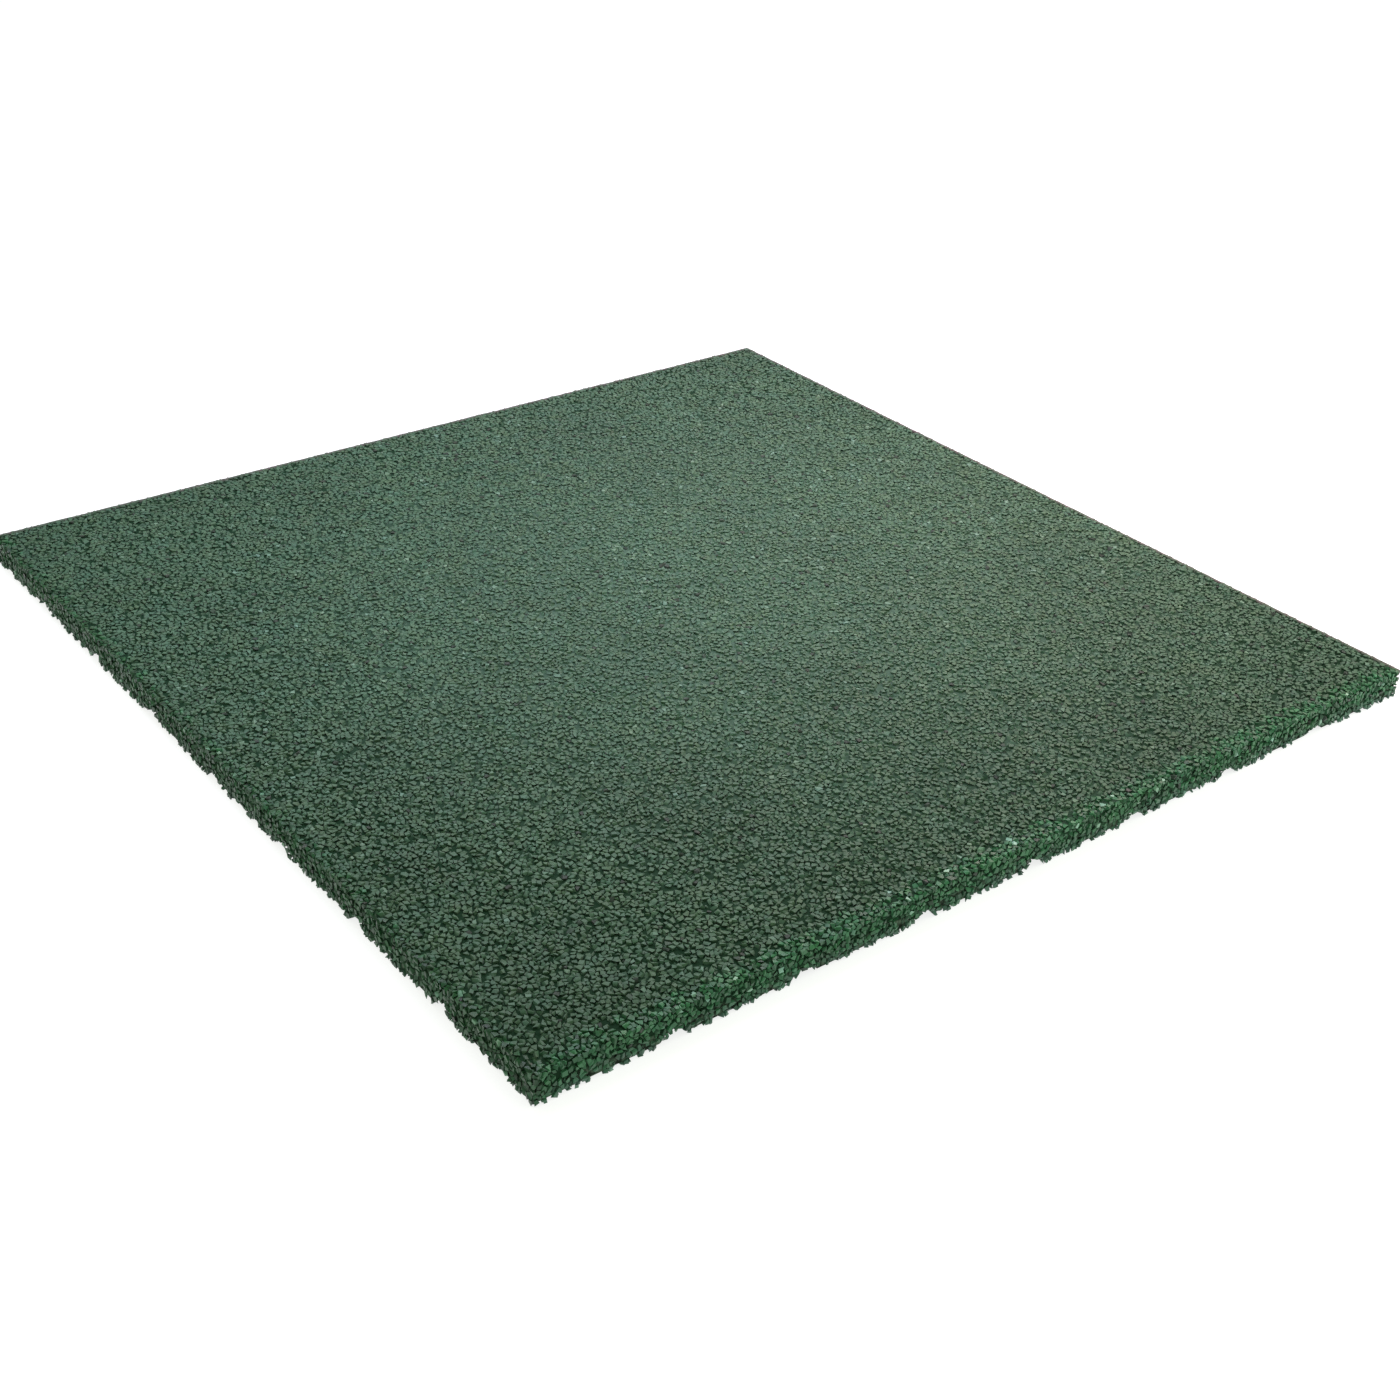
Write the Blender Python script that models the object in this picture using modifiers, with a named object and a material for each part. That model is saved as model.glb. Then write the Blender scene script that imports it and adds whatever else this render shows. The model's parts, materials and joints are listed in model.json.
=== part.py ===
"""Rubber floor tile: one square slab of bonded green rubber granules, moulded in one piece.

The tile lies flat. Its top is plain, and its underside has two crossing sets of drainage
channels, which leave square blocks to stand on. Metres, +Z up, with the origin at the
middle of the underside.
"""

import bmesh
import bpy

# Driving dimensions
SIDE = 1.000
THICKNESS = 0.030
ARRIS = 0.003  # round on every outer edge, where the granules round off the mould's corner
ARRIS_SEGMENTS = 3

BLOCKS_PER_SIDE = 8
CHANNEL_MOUTH = 0.025  # width at the underside
CHANNEL_CEILING = 0.011  # width at the top of the channel
CHANNEL_DEPTH = 0.0085
CEILING_ROUND = 0.003  # round between the channel's slanted walls and its ceiling
CEILING_SEGMENTS = 3

# What follows from them
PITCH = SIDE / BLOCKS_PER_SIDE
CHANNELS_PER_SIDE = BLOCKS_PER_SIDE - 1
WALL_SLOPE = (CHANNEL_MOUTH - CHANNEL_CEILING) / 2 / CHANNEL_DEPTH
CUTTER_OVERRUN = 0.010  # how far a cutter runs out of the tile, below it and at both ends

# Finish, as linear colour
GREEN = (0.040, 0.095, 0.055, 1.0)
ROUGHNESS = 0.85


def clear_scene():
    """Removes whatever the open file holds."""
    for obj in list(bpy.data.objects):
        bpy.data.objects.remove(obj, do_unlink=True)


def new_collection(name):
    """Makes a collection in the scene."""
    collection = bpy.data.collections.new(name)
    bpy.context.scene.collection.children.link(collection)
    return collection


def rubber_material():
    """Makes the matt green of pigmented, bonded rubber."""
    material = bpy.data.materials.new("green_rubber")
    material.use_nodes = True
    shader = material.node_tree.nodes["Principled BSDF"]
    shader.inputs["Base Color"].default_value = GREEN
    shader.inputs["Roughness"].default_value = ROUGHNESS
    shader.inputs["Metallic"].default_value = 0.0
    material.diffuse_color = GREEN
    return material


def box_mesh(name, size):
    """Makes a box mesh of the given size, centred on its own origin."""
    shape = bmesh.new()
    bmesh.ops.create_cube(shape, size=1.0)
    bmesh.ops.scale(shape, vec=size, verts=shape.verts)
    mesh = bpy.data.meshes.new(name)
    shape.to_mesh(mesh)
    shape.free()
    return mesh


def add_bevel(obj, width, segments):
    """Rounds the object's sharp edges, or only its weighted ones where it has some."""
    bevel = obj.modifiers.new("round", "BEVEL")
    bevel.width = width
    bevel.segments = segments
    bevel.limit_method = "WEIGHT" if "bevel_weight_edge" in obj.data.attributes else "ANGLE"
    return bevel


def make_slab(collection):
    """Makes the solid slab that the channels are cut from."""
    slab = bpy.data.objects.new("tile", box_mesh("tile", (SIDE, SIDE, THICKNESS)))
    slab.location = (0.0, 0.0, THICKNESS / 2)
    slab.data.materials.append(rubber_material())
    add_bevel(slab, ARRIS, ARRIS_SEGMENTS)
    collection.objects.link(slab)
    return slab


def channel_mesh(name):
    """Makes one channel's section as a long bar: narrow and rounded on top, wide below."""
    length = SIDE + 2 * CUTTER_OVERRUN
    half_bottom = CHANNEL_MOUTH / 2 + WALL_SLOPE * CUTTER_OVERRUN
    mesh = box_mesh(name, (length, 2 * half_bottom, CHANNEL_DEPTH + CUTTER_OVERRUN))
    shape = bmesh.new()
    shape.from_mesh(mesh)
    weight = shape.edges.layers.float.new("bevel_weight_edge")
    ceiling = [vert for vert in shape.verts if vert.co.z > 0]
    for vert in ceiling:
        vert.co.y *= CHANNEL_CEILING / 2 / half_bottom
    for edge in shape.edges:
        first, second = edge.verts
        along = abs(first.co.x - second.co.x) > length / 2
        if along and first in ceiling:
            edge[weight] = 1.0
    bmesh.ops.translate(
        shape, verts=shape.verts, vec=(0.0, 0.0, (CHANNEL_DEPTH - CUTTER_OVERRUN) / 2)
    )
    shape.to_mesh(mesh)
    shape.free()
    return mesh


def make_cutters(collection, name, turn):
    """Makes one set of parallel channel bars, an even pitch apart, turned about Z."""
    cutters = bpy.data.objects.new(name, channel_mesh(name))
    add_bevel(cutters, CEILING_ROUND, CEILING_SEGMENTS)
    array = cutters.modifiers.new("repeat", "ARRAY")
    array.count = CHANNELS_PER_SIDE
    array.use_relative_offset = False
    array.use_constant_offset = True
    array.constant_offset_displace = (0.0, PITCH, 0.0)
    first = -PITCH * (CHANNELS_PER_SIDE - 1) / 2
    cutters.rotation_euler = (0.0, 0.0, turn)
    across = cutters.rotation_euler.to_matrix().col[1]
    cutters.location = across * first
    cutters.hide_render = True
    cutters.display_type = "WIRE"
    collection.objects.link(cutters)
    return cutters


def cut(obj, cutter):
    """Cuts one set of bars out of the slab."""
    boolean = obj.modifiers.new(cutter.name, "BOOLEAN")
    boolean.operation = "DIFFERENCE"
    boolean.solver = "EXACT"
    boolean.object = cutter


def main():
    clear_scene()
    parts = new_collection("rubber_floor_tile")
    tools = new_collection("cutters")
    slab = make_slab(parts)
    quarter_turn = 1.5707963267948966
    for name, turn in (("channels_along_x", 0.0), ("channels_along_y", quarter_turn)):
        cut(slab, make_cutters(tools, name, turn))


main()
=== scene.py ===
# %% [markdown]
# # A rubber floor tile of pressed granules
#
# The real tile is made from one heap of crumbs. Old rubber is chopped into granules of 2 to
# 6 mm, stirred with green binder and pressed in a flat mould. So its surface isn't a pattern
# drawn on a slab. It is tens of thousands of crumbs, each one flat where it met the mould, with
# dark pits where the crumbs don't quite meet.
#
# This lesson builds it the same way: a few crumbs are modelled by hand, scattered over the
# slab, squeezed against each other and pressed back into the slab's own box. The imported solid
# gives every size.

# %% The frame
import json
import math

import bpy
from mathutils import Matrix, Vector

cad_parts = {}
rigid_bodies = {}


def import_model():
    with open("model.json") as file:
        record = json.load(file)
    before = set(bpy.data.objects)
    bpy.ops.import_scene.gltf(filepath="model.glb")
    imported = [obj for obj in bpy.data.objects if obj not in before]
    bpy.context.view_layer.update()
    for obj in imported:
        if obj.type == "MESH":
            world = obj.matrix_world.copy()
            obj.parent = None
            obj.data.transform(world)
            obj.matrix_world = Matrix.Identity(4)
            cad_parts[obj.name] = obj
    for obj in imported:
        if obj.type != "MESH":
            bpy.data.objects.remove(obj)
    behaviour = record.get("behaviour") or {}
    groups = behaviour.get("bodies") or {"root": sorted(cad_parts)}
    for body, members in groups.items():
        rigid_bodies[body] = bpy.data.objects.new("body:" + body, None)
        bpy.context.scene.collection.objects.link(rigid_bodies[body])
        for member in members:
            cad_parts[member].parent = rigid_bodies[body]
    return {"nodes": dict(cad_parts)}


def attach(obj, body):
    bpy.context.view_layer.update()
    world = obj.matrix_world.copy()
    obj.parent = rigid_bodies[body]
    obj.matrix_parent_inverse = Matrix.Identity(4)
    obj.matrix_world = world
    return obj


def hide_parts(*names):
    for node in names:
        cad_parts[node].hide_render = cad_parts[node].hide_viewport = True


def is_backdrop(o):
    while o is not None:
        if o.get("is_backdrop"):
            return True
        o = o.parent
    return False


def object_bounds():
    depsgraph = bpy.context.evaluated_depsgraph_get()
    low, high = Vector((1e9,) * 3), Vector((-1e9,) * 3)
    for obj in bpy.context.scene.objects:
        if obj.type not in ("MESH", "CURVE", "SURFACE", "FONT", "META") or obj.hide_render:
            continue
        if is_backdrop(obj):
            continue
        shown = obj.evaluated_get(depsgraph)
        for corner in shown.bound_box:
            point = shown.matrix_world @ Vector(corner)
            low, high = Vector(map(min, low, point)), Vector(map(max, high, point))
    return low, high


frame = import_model()
solid_low, solid_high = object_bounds()
solid = frame["nodes"]["tile"]
SIZE = solid_high - solid_low
MIDDLE = (solid_low + solid_high) / 2
MM = 0.001
FACING = 0.9  # a face looks one way when its normal has more than this share of it
print("solid measures", [round(v / MM, 1) for v in SIZE], "mm")

# %% [markdown]
# ## The camera
#
# The tile was photographed from above its front corner, with the camera a little tilted. The
# view is given as a person would describe it: how far round, how high, how far away, and
# which point of the top it looks at. A slight roll and a slight lens shift finish the match.
# A camera could also be nudged about until the picture fits, but these few numbers are
# easier to read and to change.

# %% Camera
PHOTO_WIDTH = 1400
VIEW_AZIMUTH = math.radians(-38.57)
VIEW_ELEVATION = math.radians(31.12)
VIEW_ROLL = math.radians(2.39)
VIEW_DISTANCE = 1.801
VIEW_TARGET = Vector((-0.1105, -0.1563, solid_high.z))
FOCAL_PIXELS = 1974
CENTRE_OFFSET_PIXELS = 20
SENSOR = 36.0


def add_camera():
    """Adds the camera, looking back along the direction the angles give."""
    flat = math.cos(VIEW_ELEVATION)
    back = Vector(
        (
            math.sin(VIEW_AZIMUTH) * flat,
            -math.cos(VIEW_AZIMUTH) * flat,
            math.sin(VIEW_ELEVATION),
        )
    )
    right = Vector((0, 0, 1)).cross(back).normalized()
    up = back.cross(right)
    rolled_right = right * math.cos(VIEW_ROLL) + up * math.sin(VIEW_ROLL)
    rolled_up = up * math.cos(VIEW_ROLL) - right * math.sin(VIEW_ROLL)
    camera = bpy.data.objects.new("camera", bpy.data.cameras.new("camera"))
    place = Matrix((rolled_right, rolled_up, back)).transposed().to_4x4()
    place.translation = VIEW_TARGET + back * VIEW_DISTANCE
    camera.matrix_world = place
    camera.data.sensor_width = SENSOR
    camera.data.lens = FOCAL_PIXELS / PHOTO_WIDTH * SENSOR
    camera.data.shift_x = CENTRE_OFFSET_PIXELS / PHOTO_WIDTH
    bpy.context.scene.collection.objects.link(camera)
    return camera


bpy.context.scene.camera = add_camera()
print("camera stands at", [round(v, 3) for v in bpy.context.scene.camera.location])

# %% [markdown]
# ## Helpers for the operators
#
# An operator acts on everything that is selected, so each step starts from nothing selected.
# Faces are then chosen in code, by where they lie or which way they face.


# %% Helpers
def only(obj):
    """Selects one object alone and makes it the active one."""
    for other in bpy.context.selected_objects:
        other.select_set(False)
    obj.select_set(True)
    bpy.context.view_layer.objects.active = obj


def select_faces(obj, wanted):
    """Selects the faces for which wanted(centre, normal) is true, and stays in edit mode."""
    bpy.ops.object.mode_set(mode="EDIT")
    bpy.ops.mesh.select_mode(type="FACE")
    bpy.ops.mesh.select_all(action="DESELECT")
    bpy.ops.object.mode_set(mode="OBJECT")
    for face in obj.data.polygons:
        face.select = wanted(face.center, face.normal)
    bpy.ops.object.mode_set(mode="EDIT")


def triangles(obj):
    """Counts the triangles of a mesh object."""
    return sum(len(face.vertices) - 2 for face in obj.data.polygons)


# %% [markdown]
# ## The crumbs
#
# A chopped crumb is a chunk with a few cut faces and no right angle. Each one starts as a
# block. One end is drawn in and pushed over, and then all eight corners are knocked out of
# true, so that its six faces all slant and bend. Ten crumbs are enough, because each copy is
# turned and stretched in its own way. A rounded stone could be the start as well, but a crumb
# has to keep to twelve triangles, because the tile needs tens of thousands of them.

# %% Crumb shapes
CRUMB_ENDS = (0.95, 0.60, 0.75, 0.50, 0.85, 0.65, 1.00, 0.55, 0.80, 0.70)
CRUMB_BLOCK = 0.76
CRUMB_LEAN = 0.12
CRUMB_KNOCK = 0.19
CRISP_ANGLE = math.radians(50)


def model_crumb(index, end):
    """Models one crumb about 1 unit across, with one end drawn in to a share of its width."""
    bpy.ops.mesh.primitive_cube_add(size=CRUMB_BLOCK)
    crumb = bpy.context.object
    crumb.name = f"crumb_{index}"
    only(crumb)
    select_faces(crumb, lambda centre, normal: normal.z > FACING)
    bpy.ops.transform.resize(value=(end, end, 1.0))
    bpy.ops.transform.translate(value=(CRUMB_LEAN, 0.0, 0.0))
    bpy.ops.mesh.select_all(action="SELECT")
    bpy.ops.transform.vertex_random(offset=CRUMB_KNOCK, uniform=1.0, seed=index + 1)
    bpy.ops.mesh.quads_convert_to_tris()
    bpy.ops.mesh.normals_make_consistent(inside=False)
    bpy.ops.object.mode_set(mode="OBJECT")
    bpy.ops.object.shade_smooth_by_angle(angle=CRISP_ANGLE)
    return crumb


crumb_shapes = bpy.data.collections.new("crumb_shapes")
bpy.context.scene.collection.children.link(crumb_shapes)
for index, end in enumerate(CRUMB_ENDS):
    shape = model_crumb(index, end)
    shape.users_collection[0].objects.unlink(shape)
    crumb_shapes.objects.link(shape)

# %% [markdown]
# ## The core
#
# Under the crumbs lies the body of the tile, with the drainage channels of the solid. It is a
# copy of the solid, merged into one skin and drawn in, so that the crumbs can stand in it and
# end at the solid's own faces. Without it one could see through the heap between two crumbs.
# What shows of it is the bottom of the pits, and the middle of the underside.

# %% Core
CORE_INSET = 2.2 * MM
MERGE = 0.01 * MM


def copy_of_solid(name):
    """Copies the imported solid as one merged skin."""
    copy = bpy.data.objects.new(name, solid.data.copy())
    bpy.context.scene.collection.objects.link(copy)
    copy.matrix_world = solid.matrix_world
    only(copy)
    bpy.ops.object.mode_set(mode="EDIT")
    bpy.ops.mesh.select_all(action="SELECT")
    bpy.ops.mesh.remove_doubles(threshold=MERGE)
    bpy.ops.mesh.normals_make_consistent(inside=False)
    bpy.ops.object.mode_set(mode="OBJECT")
    bpy.ops.object.transform_apply(location=True, rotation=True, scale=True)
    return copy


core = copy_of_solid("core")
bpy.ops.object.mode_set(mode="EDIT")
bpy.ops.mesh.select_all(action="SELECT")
bpy.ops.transform.shrink_fatten(value=-CORE_INSET, use_even_offset=True)
bpy.ops.object.mode_set(mode="OBJECT")
print("core measures", [round(v / MM, 1) for v in core.dimensions], "mm")

# %% [markdown]
# ## The bed
#
# The crumbs are scattered on a bed, which is one more copy of the solid. Each of its faces
# is marked with a zone: the top, the four sides with their round edges, or the underside.
# A crumb then knows in which zone it lies, so that one heap can be shared between pieces,
# and the crumbs of two pieces still fit against each other where they meet. With a heap for
# each piece, a seam would show at every join.

# %% Bed
TOP, SIDE, UNDER = 0, 1, 2
EDGE_BAND = 4 * MM


def zone_of(face):
    """Says in which zone a face of the solid lies."""
    if face.normal.z > FACING and face.center.z > MIDDLE.z:
        return TOP
    reach = max(abs(face.center.x), abs(face.center.y))
    return SIDE if reach > SIZE.x / 2 - EDGE_BAND else UNDER


bed = copy_of_solid("bed")
zones = bed.data.attributes.new("zone", "INT", "FACE")
zones.data.foreach_set("value", [zone_of(face) for face in bed.data.polygons])
for zone, name in enumerate(("top", "sides", "underside")):
    area = sum(face.area for face in bed.data.polygons if zone_of(face) == zone)
    print(name, "covers", round(area, 3), "square metres")

# %% [markdown]
# ## Helpers for the nodes
#
# The heap is made with Geometry Nodes, and the finishes with shader nodes. Both kinds of tree
# are built by adding nodes and feeding their sockets, so the same few helpers serve both.


# %% Node helpers
def node(tree, kind, **settings):
    """Adds a node and sets its properties."""
    made = tree.nodes.new(kind)
    for name, value in settings.items():
        setattr(made, name, value)
    return made


def give(tree, socket, value):
    """Gives one socket a value or another node's output."""
    if isinstance(value, bpy.types.NodeSocket):
        tree.links.new(value, socket)
    else:
        socket.default_value = value


def feed(tree, target, **values):
    """Gives sockets of a node by name. An underscore stands for a space."""
    for name, value in values.items():
        wanted = name.replace("_", " ")
        give(tree, next(s for s in target.inputs if s.name == wanted and s.enabled), value)


def result(made):
    """The first output of a node that is in use."""
    return next(socket for socket in made.outputs if socket.enabled)


def maths(tree, operation, *values):
    """Adds one step of arithmetic."""
    made = node(tree, "ShaderNodeMath", operation=operation)
    for socket, value in zip(made.inputs, values):
        give(tree, socket, value)
    return result(made)


def vector_math(tree, operation, *values):
    """Adds one step of vector arithmetic."""
    made = node(tree, "ShaderNodeVectorMath", operation=operation)
    for socket, value in zip(made.inputs, values):
        give(tree, socket, value)
    return result(made)


def scaled(tree, vector, factor):
    """Multiplies a vector by a number or by another node's number."""
    made = node(tree, "ShaderNodeVectorMath", operation="SCALE")
    feed(tree, made, Vector=vector, Scale=factor)
    return result(made)


def parts_of(tree, vector):
    """The X, Y and Z of a vector."""
    made = node(tree, "ShaderNodeSeparateXYZ")
    feed(tree, made, Vector=vector)
    return list(made.outputs)


def random_value(tree, kind, low, high, seed):
    """Adds a random number, whole number or vector between two limits."""
    made = node(tree, "FunctionNodeRandomValue", data_type=kind)
    feed(tree, made, Min=low, Max=high, Seed=seed)
    return result(made)


def where(tree):
    """The place of each point."""
    return result(node(tree, "GeometryNodeInputPosition"))


def remember(tree, geometry, name, value, kind="FLOAT", domain="POINT"):
    """Stores a value for each point, face or corner under a name."""
    made = node(tree, "GeometryNodeStoreNamedAttribute", data_type=kind, domain=domain)
    feed(tree, made, Geometry=geometry, Name=name, Value=value)
    return result(made)


def recall(tree, name, kind="FLOAT"):
    """Reads back what was stored under a name."""
    made = node(tree, "GeometryNodeInputNamedAttribute", data_type=kind)
    feed(tree, made, Name=name)
    return result(made)


def move_to(tree, geometry, places):
    """Moves each point to its new place."""
    made = node(tree, "GeometryNodeSetPosition")
    feed(tree, made, Geometry=geometry, Position=places)
    return result(made)


def spread_out(tree, value, from_low, from_high, to_low, to_high):
    """Maps one range of numbers onto another, and holds the result inside it."""
    made = node(tree, "ShaderNodeMapRange", clamp=True)
    for socket, number in zip(made.inputs, (value, from_low, from_high, to_low, to_high)):
        give(tree, socket, number)
    return result(made)


def cloud(tree, place, size, seed):
    """Cloudy noise of a given grain size, around one half."""
    noise = node(tree, "ShaderNodeTexNoise", noise_dimensions="4D")
    feed(tree, noise, Vector=place, W=seed, Scale=1 / size, Detail=2.0)
    return noise.outputs[0]


# %% [markdown]
# ## Sowing
#
# Points are spread over the bed, no two closer than a set distance, and each one is drawn in
# a little. Most lie near the surface and a few lie deep, which is what a power of a random
# number gives. More of them lie deep on the sides, which the press doesn't close as well as
# the top. On a round edge they are drawn in evenly, so that the edge stays straight. Every
# point remembers its own numbers: its place, which way is up there, its tint, and how deep
# the mould pushed it.

# %% Sowing
SPACING = 2.35 * MM  # the least; neighbours then lie about 4.5 mm apart
DENSITY = 92000
SEED = 11
SINK = (1.1 * MM, 3.3 * MM)
EDGE_SINK = 0.5 * MM
PRESSED = (0.5 * MM, 2.1 * MM)
DEEP_POWER, SIDE_DEEP_POWER = 3.3, 2.8
SLANT = 1 / (1 - math.sqrt(0.5))  # makes the slant 1 on a face at 45 degrees
PROUD_SHARE = 0.02  # of the crumbs, which were hardly pressed


def chance(tree, seed):
    """A random number from 0 to 1 for each point."""
    return random_value(tree, "FLOAT", 0.0, 1.0, seed)


def sow(tree, mesh):
    """Spreads the points, and gives each one its own numbers."""
    spread = node(tree, "GeometryNodeDistributePointsOnFaces", distribute_method="POISSON")
    feed(tree, spread, Mesh=mesh, Distance_Min=SPACING, Density_Max=DENSITY, Seed=SEED)
    normal = spread.outputs["Normal"]
    x, y, z = parts_of(tree, vector_math(tree, "ABSOLUTE", normal))
    square_on = maths(tree, "MAXIMUM", maths(tree, "MAXIMUM", x, y), z)
    slant = maths(tree, "MULTIPLY_ADD", square_on, -SLANT, SLANT)
    on_side = maths(tree, "COMPARE", recall(tree, "zone", "INT"), SIDE, 0.5)
    power = maths(tree, "MULTIPLY_ADD", on_side, SIDE_DEEP_POWER - DEEP_POWER, DEEP_POWER)
    lowness = maths(tree, "POWER", chance(tree, SEED + 1), power)
    lowness = maths(tree, "MULTIPLY", lowness, maths(tree, "SUBTRACT", 1.0, slant))
    sinking = maths(tree, "MULTIPLY_ADD", lowness, SINK[1] - SINK[0], SINK[0])
    sinking = maths(tree, "MULTIPLY_ADD", slant, EDGE_SINK, sinking)
    inwards = scaled(tree, normal, maths(tree, "MULTIPLY", sinking, -1.0))
    points = move_to(
        tree, spread.outputs["Points"], vector_math(tree, "ADD", where(tree), inwards)
    )
    pushed = maths(tree, "MULTIPLY_ADD", lowness, PRESSED[1] - PRESSED[0], PRESSED[0])
    level = maths(tree, "LESS_THAN", chance(tree, SEED + 3), 1 - PROUD_SHARE)
    points = remember(tree, points, "pushed", maths(tree, "MULTIPLY", pushed, level))
    points = remember(tree, points, "tint", chance(tree, SEED + 2))
    points = remember(tree, points, "up", normal, "FLOAT_VECTOR")
    return remember(tree, points, "centre", where(tree), "FLOAT_VECTOR")


# %% [markdown]
# ## Squeezing
#
# Soft crumbs that are pressed together share out the room between them: each keeps what is
# nearer to itself. So every corner of a crumb looks for the nearest other crumb, and where
# it stands past the halfway plane between the two, it is pulled back to it. The seam that
# is left widens a little with height, as it does between two rounded chunks. A physics
# simulation could do this too, but it would take far longer than one rule for each corner.

# %% Squeezing
SEAM_SLOPE = 0.035  # how much half the gap between two crumbs widens with height
PROBE = 0.8 * MM  # how far past its own corner a crumb feels for a neighbour


def squeeze(tree, geometry, centres):
    """Pulls each corner back to its own side of the seam with the nearest neighbour."""
    own = recall(tree, "centre", "FLOAT_VECTOR")
    away = vector_math(tree, "SUBTRACT", where(tree), own)
    reach = scaled(tree, vector_math(tree, "NORMALIZE", away), PROBE)
    ahead = vector_math(tree, "ADD", where(tree), reach)
    nearest = node(tree, "GeometryNodeSampleNearest", domain="POINT")
    feed(tree, nearest, Geometry=centres, Sample_Position=ahead)
    sample = node(tree, "GeometryNodeSampleIndex", data_type="FLOAT_VECTOR", domain="POINT")
    feed(tree, sample, Geometry=centres, Value=where(tree), Index=result(nearest))
    other = result(sample)
    towards = vector_math(tree, "NORMALIZE", vector_math(tree, "SUBTRACT", other, own))
    halfway = scaled(tree, vector_math(tree, "ADD", own, other), 0.5)
    beyond = vector_math(tree, "SUBTRACT", where(tree), halfway)
    past = vector_math(tree, "DOT_PRODUCT", beyond, towards)
    height = vector_math(tree, "DOT_PRODUCT", away, recall(tree, "up", "FLOAT_VECTOR"))
    gap = maths(tree, "MULTIPLY", maths(tree, "MAXIMUM", height, 0.0), SEAM_SLOPE)
    pull = maths(tree, "MAXIMUM", maths(tree, "ADD", past, gap), 0.0)
    held = vector_math(tree, "SUBTRACT", where(tree), scaled(tree, towards, pull))
    return move_to(tree, geometry, held)


# %% [markdown]
# ## Pressing
#
# The mould has flat walls, and so has the solid's box. Each corner that stands past the crumb's
# own pressed box is pushed back, almost flat but not quite, which leaves the slight
# swell that a pressed crumb has. No corner ever leaves the solid's box. The mould also has
# ridges, which leave the drainage channels, so a corner that hangs into a channel is lifted
# to its wall or ceiling. Cutting with a box would be simpler, but it would leave open or dead
# flat crumbs. Then each corner notes how deep it ended below the mould's wall, because the
# finish paints shade into deep places.

# %% Pressing
PRESS_SWELL = 0.28  # share of the height past the press that is left
PIT_DEPTH = 3.0 * MM
BLOCKS_PER_SIDE = 8
CHANNEL_PITCH = SIZE.x / BLOCKS_PER_SIDE
CHANNEL_HALF_MOUTH, CHANNEL_HALF_CEILING = 12.5 * MM, 5.5 * MM
CHANNEL_DEPTH = 8.5 * MM


def channel_roof(tree, across):
    """The height of the channels' roof over a place, for the channels across one axis."""
    shifted = maths(tree, "ADD", across, CHANNEL_PITCH / 2)
    middle = maths(tree, "SNAP", shifted, CHANNEL_PITCH)
    off = maths(tree, "ABSOLUTE", maths(tree, "SUBTRACT", across, middle))
    roof = spread_out(tree, off, CHANNEL_HALF_CEILING, CHANNEL_HALF_MOUTH, CHANNEL_DEPTH, 0.0)
    past_the_last = (BLOCKS_PER_SIDE - 1) / 2 * CHANNEL_PITCH
    among = maths(tree, "LESS_THAN", maths(tree, "ABSOLUTE", across), past_the_last)
    return maths(tree, "MULTIPLY", roof, among)


def clear_channels(tree, geometry):
    """Lifts every corner that hangs into a channel to the channel's roof."""
    x, y, z = parts_of(tree, where(tree))
    roof = maths(tree, "MAXIMUM", channel_roof(tree, x), channel_roof(tree, y))
    lift = maths(tree, "MAXIMUM", maths(tree, "SUBTRACT", roof, z), 0.0)
    up = node(tree, "ShaderNodeCombineXYZ")
    feed(tree, up, Z=lift)
    return move_to(tree, geometry, vector_math(tree, "ADD", where(tree), result(up)))


def press(tree, geometry):
    """Pushes every corner back into the tile's box, out of its channels as well."""
    half = tuple(SIZE / 2)
    middle = tuple(MIDDLE)
    offset = vector_math(tree, "SUBTRACT", where(tree), middle)
    reach = vector_math(tree, "ABSOLUTE", offset)
    limit = vector_math(tree, "SUBTRACT", half, recall(tree, "pushed"))
    inside = vector_math(tree, "MINIMUM", reach, limit)
    swell = scaled(tree, vector_math(tree, "SUBTRACT", reach, inside), PRESS_SWELL)
    held = vector_math(tree, "MINIMUM", vector_math(tree, "ADD", inside, swell), half)
    signed = vector_math(tree, "MULTIPLY", held, vector_math(tree, "SIGN", offset))
    pressed = move_to(tree, geometry, vector_math(tree, "ADD", signed, middle))
    return clear_channels(tree, pressed)


def note_pits(tree, geometry):
    """Notes how deep every corner lies below the nearest wall of the mould."""
    offset = vector_math(tree, "SUBTRACT", where(tree), tuple(MIDDLE))
    reach = vector_math(tree, "ABSOLUTE", offset)
    x, y, z = parts_of(tree, vector_math(tree, "SUBTRACT", tuple(SIZE / 2), reach))
    depth = maths(tree, "MINIMUM", maths(tree, "MINIMUM", x, y), z)
    return remember(tree, geometry, "pit", maths(tree, "DIVIDE", depth, PIT_DEPTH))


# %% [markdown]
# ## The heap
#
# The node tree of one piece sows the whole bed, keeps the points of its own zone, puts a
# crumb on each, makes the copies real, squeezes them twice and presses them. The copies
# differ in shape, size and turn. A second squeeze settles the corners that the first one
# moved next to another neighbour. Along the bottom edge, crumbs have broken away in places,
# so a cloudy noise says where that edge has none.

# %% Heap
CRUMB_LEAST = (5.8 * MM, 5.2 * MM, 4.6 * MM)
CRUMB_MOST = (9.6 * MM, 8.2 * MM, 7.0 * MM)
UNDER_RIM = 24 * MM  # how far in from the sides the underside gets crumbs
BROKEN_HEIGHT, BROKEN_REACH = 4.5 * MM, 9 * MM
BROKEN_PATCH = 8 * MM
BROKEN_ABOVE = 0.50  # the noise's value past which the crumbs are gone
SQUEEZES = 2


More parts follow.
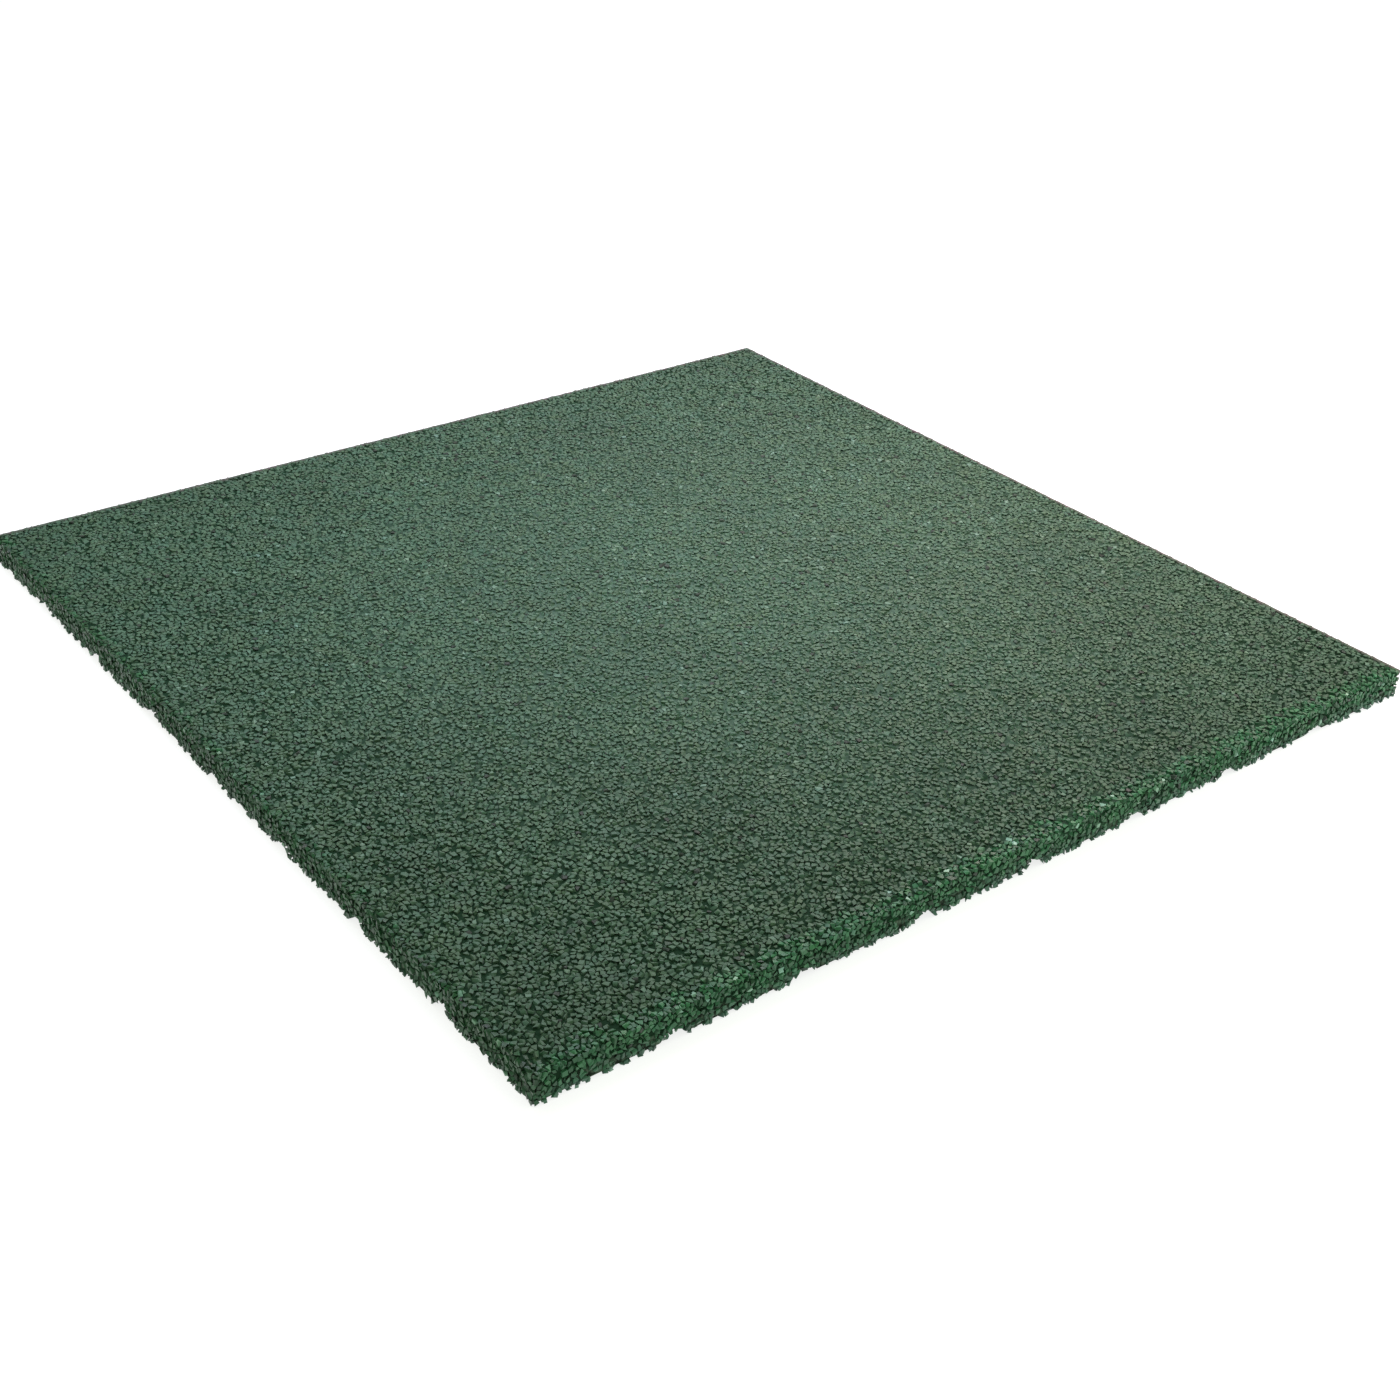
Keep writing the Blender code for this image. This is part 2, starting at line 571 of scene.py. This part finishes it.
def keep(tree, points, zone, low, high, rim):
    """Drops the points of other zones, outside a strip in Y, or inside a rim."""
    x, y, z = parts_of(tree, where(tree))
    other = maths(tree, "ABSOLUTE", maths(tree, "SUBTRACT", recall(tree, "zone", "INT"), zone))
    outside = maths(tree, "ABSOLUTE", maths(tree, "SUBTRACT", y, (low + high) / 2))
    outside = maths(tree, "GREATER_THAN", outside, (high - low) / 2)
    reach = maths(tree, "MAXIMUM", maths(tree, "ABSOLUTE", x), maths(tree, "ABSOLUTE", y))
    inside = maths(tree, "LESS_THAN", reach, SIZE.x / 2 - rim)
    patches = cloud(tree, where(tree), BROKEN_PATCH, SEED)
    broken = maths(tree, "GREATER_THAN", patches, BROKEN_ABOVE)
    broken = maths(tree, "MULTIPLY", broken, maths(tree, "LESS_THAN", z, BROKEN_HEIGHT))
    at_edge = maths(tree, "GREATER_THAN", reach, SIZE.x / 2 - BROKEN_REACH)
    broken = maths(tree, "MULTIPLY", broken, at_edge)
    drop = maths(tree, "MAXIMUM", maths(tree, "MAXIMUM", other, outside), inside)
    drop = maths(tree, "MAXIMUM", drop, broken)
    made = node(tree, "GeometryNodeDeleteGeometry", domain="POINT")
    feed(tree, made, Geometry=points, Selection=maths(tree, "GREATER_THAN", drop, 0.5))
    return result(made)


def place_crumbs(tree, points):
    """Puts a crumb on each point and makes the copies real."""
    turn = random_value(tree, "FLOAT_VECTOR", (0.0, 0.0, 0.0), (math.tau,) * 3, SEED + 4)
    shapes = node(tree, "GeometryNodeCollectionInfo")
    feed(tree, shapes, Collection=crumb_shapes, Separate_Children=True, Reset_Children=True)
    crumbs = node(tree, "GeometryNodeInstanceOnPoints")
    pick = random_value(tree, "INT", 0, len(CRUMB_ENDS) - 1, SEED + 5)
    size = random_value(tree, "FLOAT_VECTOR", CRUMB_LEAST, CRUMB_MOST, SEED + 6)
    feed(tree, crumbs, Points=points, Instance=result(shapes), Pick_Instance=True)
    feed(tree, crumbs, Instance_Index=pick, Rotation=turn, Scale=size)
    real = node(tree, "GeometryNodeRealizeInstances")
    feed(tree, real, Geometry=result(crumbs))
    return result(real)


def heap(name, zone, low=-SIZE.y, high=SIZE.y, rim=SIZE.x):
    """Makes one piece: the crumbs of one zone, in a strip between two values of Y."""
    tree = bpy.data.node_groups.new(name, "GeometryNodeTree")
    tree.interface.new_socket("Geometry", in_out="INPUT", socket_type="NodeSocketGeometry")
    tree.interface.new_socket("Geometry", in_out="OUTPUT", socket_type="NodeSocketGeometry")
    points = sow(tree, node(tree, "NodeGroupInput").outputs[0])
    kept = keep(tree, points, zone, low, high, rim)
    pile = place_crumbs(tree, kept)
    for _ in range(SQUEEZES):
        pile = squeeze(tree, pile, points)
    pile = note_pits(tree, press(tree, pile))
    give(tree, node(tree, "NodeGroupOutput").inputs[0], pile)
    piece = bpy.data.objects.new(name, bed.data.copy())
    bpy.context.scene.collection.objects.link(piece)
    only(piece)
    piece.modifiers.new("heap", "NODES").node_group = tree
    bpy.ops.object.modifier_apply(modifier="heap")
    print(name, "has", triangles(piece), "triangles")
    return piece


# %% [markdown]
# ## The pieces
#
# The top is cut into six strips, only so that no single mesh grows too heavy. The strips
# share one heap, so no join shows between them. The sides are one piece. The underside gets
# crumbs along its rim and in the channel mouths, where they can be seen from the side.

# %% Top granules
STRIPS = 6
strip = SIZE.y / STRIPS
tops = []
for index in range(STRIPS):
    low = solid_low.y + index * strip
    tops.append(heap(f"top_granules_{index + 1}", TOP, low, low + strip))

# %% Side and rim granules
sides = heap("side_granules", SIDE)
rim = heap("underside_granules", UNDER, rim=UNDER_RIM)

# %% [markdown]
# ## The far edges
#
# Along the two far edges of the top runs a thin straight line, brownish and smooth. There
# the rubber ends in a skin, where binder ran into the corner of the mould. Colour alone could
# draw it, but it is a shape of its own: a rounded bar, cut across many times and knocked a
# little out of true. It lies just under the crumbs' level, so that the highest crumbs still
# break it.

# %% Far edge skin
SKIN_WIDTH, SKIN_THICKNESS = 3.6 * MM, 2.2 * MM
SKIN_BELOW = 0.35 * MM
SKIN_ROUND = 0.8 * MM
SKIN_CUTS = 120
SKIN_KNOCK = 0.25 * MM


def skin_bar(name, turn):
    """Makes one bar of skin along a far edge of the top."""
    bpy.ops.mesh.primitive_cube_add(size=1)
    bar = bpy.context.object
    bar.name = name
    only(bar)
    bar.scale = (SIZE.x - 2 * SKIN_BELOW, SKIN_WIDTH, SKIN_THICKNESS)
    inwards = SIZE.y / 2 - SKIN_BELOW - SKIN_WIDTH / 2
    bar.location = (0, inwards, solid_high.z - SKIN_BELOW - SKIN_THICKNESS / 2)
    bpy.ops.object.transform_apply(location=True, rotation=True, scale=True)
    bpy.ops.object.mode_set(mode="EDIT")
    bpy.ops.mesh.select_all(action="SELECT")
    bpy.ops.mesh.bevel(offset=SKIN_ROUND, segments=2)
    bpy.ops.mesh.select_mode(type="EDGE")
    bpy.ops.mesh.select_all(action="DESELECT")
    bpy.ops.object.mode_set(mode="OBJECT")
    for edge in bar.data.edges:
        first, second = (bar.data.vertices[end].co for end in edge.vertices)
        edge.select = (first - second).length > SIZE.x / 2
    bpy.ops.object.mode_set(mode="EDIT")
    bpy.ops.mesh.subdivide(number_cuts=SKIN_CUTS)
    bpy.ops.mesh.select_all(action="SELECT")
    bpy.ops.transform.vertex_random(offset=SKIN_KNOCK, uniform=1.0, seed=SEED)
    bpy.ops.transform.rotate(value=turn, orient_axis="Z", center_override=(0, 0, 0))
    bpy.ops.object.mode_set(mode="OBJECT")
    bpy.ops.object.shade_smooth_by_angle(angle=CRISP_ANGLE)
    return bar


skin = skin_bar("far_edge_skin", 0.0)
other_bar = skin_bar("far_edge_skin_right", math.radians(90))
only(skin)
other_bar.select_set(True)
bpy.ops.object.join()
print("skin has", triangles(skin), "triangles")

# %% [markdown]
# ## The rubber's finish
#
# Coloured rubber is never one green. The binder's pigment lies unevenly, so each crumb has
# its own shade, and here and there the green leans to blue or to olive over a patch of
# crumbs. A few crumbs are nearly black, where the binder missed them, and a few are
# pale; where the green is vivid, these pale ones are painted glints. Deep places get
# painted shade, darker the deeper they lie, and towards the middle of the tile this gives
# way to painted light, so that the pits there are paler than the crumbs. The pressed top is
# dull and greyer. The sides were pressed less, so their binder is thicker, glossier and
# more vivid.
# At the near edges the vivid green wraps over onto the top, and at the far ones a line
# of brownish dust lies on the edge. The left side is darkened with painted shade, and the
# near side keeps dust along its foot. All this could be painted on pictures, but a finish
# that is worked out from the place stays sharp at any distance. One material does it all.


# %% Finish helpers
NOISE_RANGE = (0.35, 0.65)  # nearly all of the cloudy noise lies in here


def new_finish(name):
    """Makes a material, and hands it over with its node tree and its shader."""
    material = bpy.data.materials.new(name)
    material.use_nodes = True
    tree = material.node_tree
    return material, tree, tree.nodes["Principled BSDF"]


def own_place(tree):
    """The place that is shaded, as the object itself measures it."""
    return node(tree, "ShaderNodeTexCoord").outputs["Object"]


def attribute(tree, name):
    """Reads a number that was stored on the mesh."""
    return node(tree, "ShaderNodeAttribute", attribute_name=name).outputs["Fac"]


def spots(tree, size, seed, low=0.0, high=1.0):
    """Cloudy noise on the object, spread between two values."""
    return spread_out(tree, cloud(tree, own_place(tree), size, seed), *NOISE_RANGE, low, high)


def blend(tree, how, amount, first, second):
    """Mixes two colours."""
    made = node(tree, "ShaderNodeMix", data_type="RGBA", blend_type=how)
    feed(tree, made, Factor=amount, A=first, B=second)
    return result(made)


def grey(tree, value):
    """Turns a number into a grey that can be multiplied into a colour."""
    made = node(tree, "ShaderNodeCombineColor")
    feed(tree, made, Red=value, Green=value, Blue=value)
    return result(made)


def shades(tree, value, *stops):
    """A ramp through colours: each stop is a place from 0 to 1 and a colour."""
    made = node(tree, "ShaderNodeValToRGB")
    ramp = made.color_ramp
    while len(ramp.elements) < len(stops):
        ramp.elements.new(1.0)
    for element, (place, colour) in zip(ramp.elements, stops):
        element.position = place
        element.color = (*colour, 1.0)
    feed(tree, made, Fac=value)
    return result(made)


def raise_bumps(tree, shader, height, strength, distance):
    """Adds relief that is too fine to model."""
    bump = node(tree, "ShaderNodeBump")
    feed(tree, bump, Height=height, Strength=strength, Distance=distance)
    give(tree, shader.inputs["Normal"], result(bump))


# %% Rubber finish
BARE = (0.010, 0.022, 0.012)
WORN = ((0.029, 0.072, 0.036), (0.038, 0.091, 0.047), (0.080, 0.150, 0.095))
# The pale third colour of VIVID is a painted glint: pale crumbs where the green is vivid stand
# in for highlights.
VIVID = ((0.009, 0.052, 0.020), (0.025, 0.132, 0.048), (0.20, 0.36, 0.26))
DUST = (0.050, 0.092, 0.084)
BROWN_DUST = (0.070, 0.062, 0.054)
TOWARDS_BLUE = (0.88, 1.00, 1.14, 1.0)
TOWARDS_OLIVE = (1.11, 1.00, 0.91, 1.0)
PATCHES, PATCH_STRENGTH = (14 * MM, 17 * MM), 0.9
CLOUDS, CLOUD_DEPTH = 120 * MM, 0.07
# Painted shade in deep places, and painted light that lifts it in the middle of the tile:
PIT_FROM = 0.25  # share of the pit's depth at which it starts to darken
PIT_SHADE = 0.64
PIT_PAINTED_LIGHT = 0.62
PIT_LIGHT_MIDDLE = (0.09, -0.04, 0.0)
PIT_LIGHT_WITHIN, PIT_LIGHT_BEYOND = 0.20, 0.54
# Painted shade: the left side and its edge are multiplied by this colour.
PAINTED_LEFT_SHADE = (0.40, 0.53, 0.40, 1.0)
SHADE_FULL, SHADE_GONE = 4 * MM, 10 * MM  # how far in from the left side
DUST_HEIGHT = 16 * MM
DUST_MOST, DUST_LEAST = 0.85, 0.35
DUST_SPOTS, LINE_SPOTS = 9 * MM, 7 * MM
LEFT_DUST, LEFT_CORNER = 0.3, 12 * MM  # the left side keeps only this share of the dust
LINE_LOW, LINE_HIGH = 20 * MM, 26 * MM
LINE_MOST, LINE_LEAST = 0.9, 0.3
NEAR_BAND = 16 * MM  # how far the vivid green comes onto the top, more or less
LEFT_LESS = 9 * MM  # how much less far it comes at the left
FAR_BAND = 5 * MM
EDGE_SOFT = 3 * MM
EDGE_WANDER = 6 * MM
HALF = SIZE.x / 2
DULL_ROUGHNESS, GLOSSY_ROUGHNESS = 0.62, 0.42


def greens(tree, deep, light, pale):
    """Each crumb's own green, from its tint."""
    return shades(
        tree,
        attribute(tree, "tint"),
        (0.0, BARE),
        (0.008, BARE),
        (0.018, deep),
        (0.980, light),
        (0.990, pale),
    )


def patchy(tree, colour):
    """Lets the green lean to blue and to olive in patches, and cloud over."""
    bluish = spots(tree, PATCHES[0], 1.0, 0.0, PATCH_STRENGTH)
    olive = spots(tree, PATCHES[1], 5.0, 0.0, PATCH_STRENGTH)
    colour = blend(tree, "MULTIPLY", bluish, colour, TOWARDS_BLUE)
    colour = blend(tree, "MULTIPLY", olive, colour, TOWARDS_OLIVE)
    clouds = spots(tree, CLOUDS, 9.0, 1 - CLOUD_DEPTH, 1 + CLOUD_DEPTH)
    return blend(tree, "MULTIPLY", 1.0, colour, grey(tree, clouds))


def vividness(tree, x, y):
    """Says how vivid the green is: 1 on the sides and near the near edges, 0 on the top."""
    left = maths(tree, "MULTIPLY_ADD", x, -1.0, -LEFT_LESS)
    near = maths(tree, "MAXIMUM", left, maths(tree, "MULTIPLY", y, -1.0))
    near = maths(tree, "ADD", near, spots(tree, 9 * MM, 3.0, -EDGE_WANDER, EDGE_WANDER))
    line = HALF - NEAR_BAND
    near = spread_out(tree, near, line - EDGE_SOFT, line + EDGE_SOFT, 0.0, 1.0)
    far = maths(tree, "MAXIMUM", x, y)
    far = spread_out(tree, far, HALF - EDGE_SOFT, HALF - EDGE_SOFT / 3, 0.0, 1.0)
    return maths(tree, "MAXIMUM", near, far)


def dusty(tree, colour, x, y, z):
    """Lays dust on the bottom edge, and brownish dust on the far edges of the top."""
    low_down = spread_out(tree, z, 0.0, DUST_HEIGHT, DUST_MOST, 0.0)
    low_down = maths(tree, "MULTIPLY", low_down, spots(tree, DUST_SPOTS, 13.0, DUST_LEAST))
    at_right = spread_out(tree, x, -HALF, LEFT_CORNER - HALF, LEFT_DUST, 1.0)
    low_down = maths(tree, "MULTIPLY", low_down, at_right)
    colour = blend(tree, "MIX", low_down, colour, (*DUST, 1.0))
    far = maths(tree, "MAXIMUM", x, y)
    far = spread_out(tree, far, HALF - FAR_BAND, HALF - FAR_BAND / 2, 0.0, 1.0)
    high_up = spread_out(tree, z, LINE_LOW, LINE_HIGH, 0.0, LINE_MOST)
    line = maths(tree, "MULTIPLY", far, high_up)
    line = maths(tree, "MULTIPLY", line, spots(tree, LINE_SPOTS, 27.0, LINE_LEAST))
    return blend(tree, "MIX", line, colour, (*BROWN_DUST, 1.0))


def painted_pit_light(tree):
    """How much painted light lifts the pits: 1 in the middle of the tile, 0 towards its
    corners.
    """
    offset = vector_math(tree, "SUBTRACT", own_place(tree), PIT_LIGHT_MIDDLE)
    reach = vector_math(tree, "LENGTH", offset)
    return spread_out(tree, reach, PIT_LIGHT_WITHIN, PIT_LIGHT_BEYOND, 1.0, 0.0)


# %% Rubber material
ROUGH_SPOTS, BUMP_SPOTS = 2.5 * MM, 0.8 * MM


def rubber_finish():
    """Makes the one material of all the crumbs."""
    material, tree, shader = new_finish("green_rubber_crumbs")
    x, y, z = parts_of(tree, own_place(tree))
    vivid = vividness(tree, x, y)
    colour = blend(tree, "MIX", vivid, greens(tree, *WORN), greens(tree, *VIVID))
    colour = patchy(tree, colour)
    # Painted shade: deep places are darkened down to bottom, half as much where the green is
    # vivid; towards the middle of the tile the painted light (dust here) lifts bottom past 1,
    # so the pits there are painted paler than the crumbs.
    dust = maths(tree, "MULTIPLY", painted_pit_light(tree), PIT_PAINTED_LIGHT)
    bottom = maths(tree, "MULTIPLY_ADD", vivid, (1 - PIT_SHADE) / 2, PIT_SHADE)
    bottom = maths(tree, "ADD", bottom, dust)
    pit = spread_out(tree, attribute(tree, "pit"), PIT_FROM, 1.0, 1.0, bottom)
    colour = blend(tree, "MULTIPLY", 1.0, colour, grey(tree, pit))
    # Painted shade on the left side and the edge next to it.
    left = spread_out(tree, x, SHADE_FULL - HALF, SHADE_GONE - HALF, 1.0, 0.0)
    colour = blend(tree, "MULTIPLY", left, colour, PAINTED_LEFT_SHADE)
    colour = dusty(tree, colour, x, y, z)
    give(tree, shader.inputs["Base Color"], colour)
    dull = spread_out(tree, vivid, 0.0, 1.0, DULL_ROUGHNESS, GLOSSY_ROUGHNESS)
    rough = maths(tree, "ADD", dull, spots(tree, ROUGH_SPOTS, 17.0, -0.08, 0.10))
    give(tree, shader.inputs["Roughness"], rough)
    shader.inputs["Specular IOR Level"].default_value = 0.22
    shader.inputs["Sheen Weight"].default_value = 0.10
    shader.inputs["Sheen Roughness"].default_value = 0.5
    shader.inputs["Sheen Tint"].default_value = (1.0, 1.0, 0.96, 1.0)
    raise_bumps(tree, shader, spots(tree, BUMP_SPOTS, 21.0), 0.35, 0.12 * MM)
    return material


crumb_rubber = rubber_finish()
print(crumb_rubber.name, "has", len(crumb_rubber.node_tree.nodes), "nodes")

# %% [markdown]
# ## The skin's finish
#
# The skin on the far edges is thin binder with dirt in it. It is brownish, and where it is
# thinnest the green of the crumbs shows through, so the two colours are mixed by a cloudy
# noise. One flat brown would read as a strip that is stuck on. A finer noise makes it
# blotchy, and gives it a little bump.

# %% Skin finish
GREEN_SPOTS, BLOTCHES, SKIN_GRAIN = 11 * MM, 3 * MM, 1.5 * MM


def skin_finish():
    """Makes the brownish skin of the far edges, which fades to green here and there."""
    material, tree, shader = new_finish("brown_skin")
    green = spots(tree, GREEN_SPOTS, 31.0, 0.0, 0.7)
    colour = blend(tree, "MIX", green, (*BROWN_DUST, 1.0), (*WORN[1], 1.0))
    blotches = spots(tree, BLOTCHES, 33.0, 0.7, 1.1)
    colour = blend(tree, "MULTIPLY", 1.0, colour, grey(tree, blotches))
    give(tree, shader.inputs["Base Color"], colour)
    shader.inputs["Roughness"].default_value = 0.7
    shader.inputs["Specular IOR Level"].default_value = 0.30
    raise_bumps(tree, shader, spots(tree, SKIN_GRAIN, 35.0), 0.4, 0.2 * MM)
    return material


skin_rubber = skin_finish()
print(skin_rubber.name, "has", len(skin_rubber.node_tree.nodes), "nodes")

# %% [markdown]
# ## The core's finish
#
# From above, the core shows only at the bottom of the pits. There it is nearly black near
# the corners, as painted shade, and paler in the middle, as painted light. From below, the
# middle of the core shows as the underside. That is the same bonded rubber, but real crumbs
# there would cost as many triangles as the whole top. So the pattern of crumbs is drawn on
# it as cells, with painted shade in the seams between them and a bump that raises each cell.

# %% Core finish
CELL = 4.7 * MM  # as wide as the crumbs lie apart
CELL_HEART, CELL_RIM = 0.35, 0.75  # as shares of a cell
# Painted shade in the seams between the drawn cells:
CELL_SEAM_SHADE = 0.15  # how bright the seam between two cells is
CELL_RELIEF = 0.8 * MM
UNDERSIDE_GREENS = ((0.030, 0.055, 0.034), (0.075, 0.115, 0.078))
# Painted shade and painted light: the pits' bottoms are nearly black near the corners and paler
# in the middle.
PIT_BOTTOM = (0.008, 0.026, 0.012)
PIT_BOTTOM_LIT = (0.046, 0.086, 0.058)
UNDERSIDE_TOP, PITS_FROM = 11.5 * MM, 14 * MM  # the channels end below, the pits lie above


def core_finish():
    """Makes the core's rubber, painted dark as shade in the pits, with cells of crumbs on its
    underside.
    """
    material, tree, shader = new_finish("green_rubber_core")
    place = own_place(tree)
    cells = node(tree, "ShaderNodeTexVoronoi", feature="F1")
    feed(tree, cells, Vector=place, Scale=1 / CELL, Randomness=1.0)
    tint = node(tree, "ShaderNodeSeparateColor")
    feed(tree, tint, Color=cells.outputs["Color"])
    dark, light = UNDERSIDE_GREENS
    crumbs = shades(tree, tint.outputs[0], (0.0, dark), (1.0, light))
    distance = cells.outputs["Distance"]
    # Painted shade: each cell darkens towards its seam, which also drives the bump.
    edge = spread_out(tree, distance, CELL_HEART, CELL_RIM, 1.0, CELL_SEAM_SHADE)
    crumbs = blend(tree, "MULTIPLY", 1.0, crumbs, grey(tree, edge))
    z = parts_of(tree, place)[2]
    # Painted light lifts the pit bottoms towards the middle of the tile; above the channels the
    # core takes these painted colours.
    dust = painted_pit_light(tree)
    bottoms = blend(tree, "MIX", dust, (*PIT_BOTTOM, 1.0), (*PIT_BOTTOM_LIT, 1.0))
    upper = spread_out(tree, z, UNDERSIDE_TOP, PITS_FROM, 0.0, 1.0)
    colour = blend(tree, "MIX", upper, crumbs, bottoms)
    give(tree, shader.inputs["Base Color"], colour)
    shader.inputs["Roughness"].default_value = 0.85
    shader.inputs["Specular IOR Level"].default_value = 0.05
    raise_bumps(tree, shader, edge, 0.9, CELL_RELIEF)
    return material


core_rubber = core_finish()
print(core_rubber.name, "has", len(core_rubber.node_tree.nodes), "nodes")

# %% [markdown]
# ## Dressing the tile
#
# Each piece gets its finish and rides on the tile's one body. The core stands in for the
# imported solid, which is hidden. The hand-made crumbs and the bed have done their work.

# %% Dressing
finishes = [(piece, crumb_rubber) for piece in [*tops, sides, rim]]
finishes += [(skin, skin_rubber), (core, core_rubber)]
for piece, finish in finishes:
    piece.data.materials.clear()
    piece.data.materials.append(finish)
    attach(piece, "root")
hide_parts("tile")
for used in [*crumb_shapes.objects, bed]:
    bpy.data.objects.remove(used)
print("all pieces have", sum(triangles(piece) for piece, _ in finishes), "triangles")

# %% [markdown]
# ## The studio
#
# The tile lies on a white floor that glows a little by itself, like a light table, so the floor
# stays white right up to the tile. The room is bright and soft from all around, and a
# little brighter from the camera's side, which opens up the pits. Four softboxes hang low
# over the tile, so that its middle and far half are lit more than its near corner: the ones
# at the back are cool, and the one at the right is warm. A fifth one lights the near side.
# One big lamp would be simpler, but it would light the whole tile alike and cast a shadow.

# %% Floor
FLOOR_SIZE = 40.0
FLOOR_WHITE, FLOOR_GLOW = 0.35, 0.78
bpy.ops.mesh.primitive_plane_add(size=FLOOR_SIZE, location=(0, 0, 0))
floor = bpy.context.object
floor.name = "floor"
floor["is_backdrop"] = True
white, _, white_shader = new_finish("white_floor")
white_shader.inputs["Base Color"].default_value = (FLOOR_WHITE, FLOOR_WHITE, FLOOR_WHITE, 1.0)
white_shader.inputs["Emission Color"].default_value = (1.0, 1.0, 1.0, 1.0)
white_shader.inputs["Emission Strength"].default_value = FLOOR_GLOW
white_shader.inputs["Roughness"].default_value = 0.9
white_shader.inputs["Specular IOR Level"].default_value = 0.0
floor.data.materials.append(white)
print("the floor glows with a strength of", FLOOR_GLOW)

# %% Room light
BRIGHT_SIDE = Vector((-0.6, -0.75, 0.3)).normalized()
ROOM_DIM, ROOM_BRIGHT = 0.59, 0.89
ROOM_COLOUR = (0.92, 1.0, 0.82, 1.0)


def add_room():
    """Adds a pale room that is brighter on one side."""
    world = bpy.data.worlds.new("room")
    world.use_nodes = True
    tree = world.node_tree
    direction = node(tree, "ShaderNodeTexCoord").outputs["Generated"]
    facing = vector_math(tree, "DOT_PRODUCT", direction, tuple(BRIGHT_SIDE))
    strength = spread_out(tree, facing, -1.0, 1.0, ROOM_DIM, ROOM_BRIGHT)
    background = tree.nodes["Background"]
    background.inputs["Color"].default_value = ROOM_COLOUR
    give(tree, background.inputs["Strength"], strength)
    return world


bpy.context.scene.world = add_room()
print("the room's strength goes from", ROOM_DIM, "to", ROOM_BRIGHT)


# %% Softboxes
LAMP_HEIGHT = 0.68
OVERHEAD_SIZE = (0.5, 0.5)


def softbox(name, place, aim, size, power, colour):
    """Adds a softbox that faces a point."""
    lamp = bpy.data.lights.new(name, "AREA")
    lamp.shape = "RECTANGLE"
    lamp.size, lamp.size_y = size
    lamp.energy = power
    lamp.color = colour
    obj = bpy.data.objects.new(name, lamp)
    obj.location = place
    obj.rotation_euler = (Vector(aim) - Vector(place)).to_track_quat("-Z", "Y").to_euler()
    obj.visible_camera = False
    bpy.context.scene.collection.objects.link(obj)


def overhead_softbox(name, x, y, power, colour):
    """Adds a softbox over the tile that looks straight down."""
    softbox(name, (x, y, LAMP_HEIGHT), (x, y, 0), OVERHEAD_SIZE, power, colour)


overhead_softbox("back_softbox", 0.5, 0.55, 3.4, (1.12, 0.94, 1.5))
overhead_softbox("left_softbox", -0.3, 0.26, 3.6, (1.04, 0.98, 1.4))
overhead_softbox("middle_softbox", 0.0, -0.05, 2.5, (1.06, 1.0, 1.20))
overhead_softbox("right_softbox", 0.6, -0.03, 6.4, (1.38, 0.90, 1.02))
softbox("side_softbox", (1.4, -0.95, 0.45), (0.55, -0.5, 0), (0.6, 0.6), 11, (1.0, 1.04, 0.98))
bpy.context.scene.view_settings.view_transform = "Standard"

# %% [markdown]
# ## Finish
#
# The new tile has to fill the same box as the imported solid, so its size is printed.

# %% Finish
low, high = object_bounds()
print("visual model measures", [round(v / MM, 1) for v in high - low], "mm")
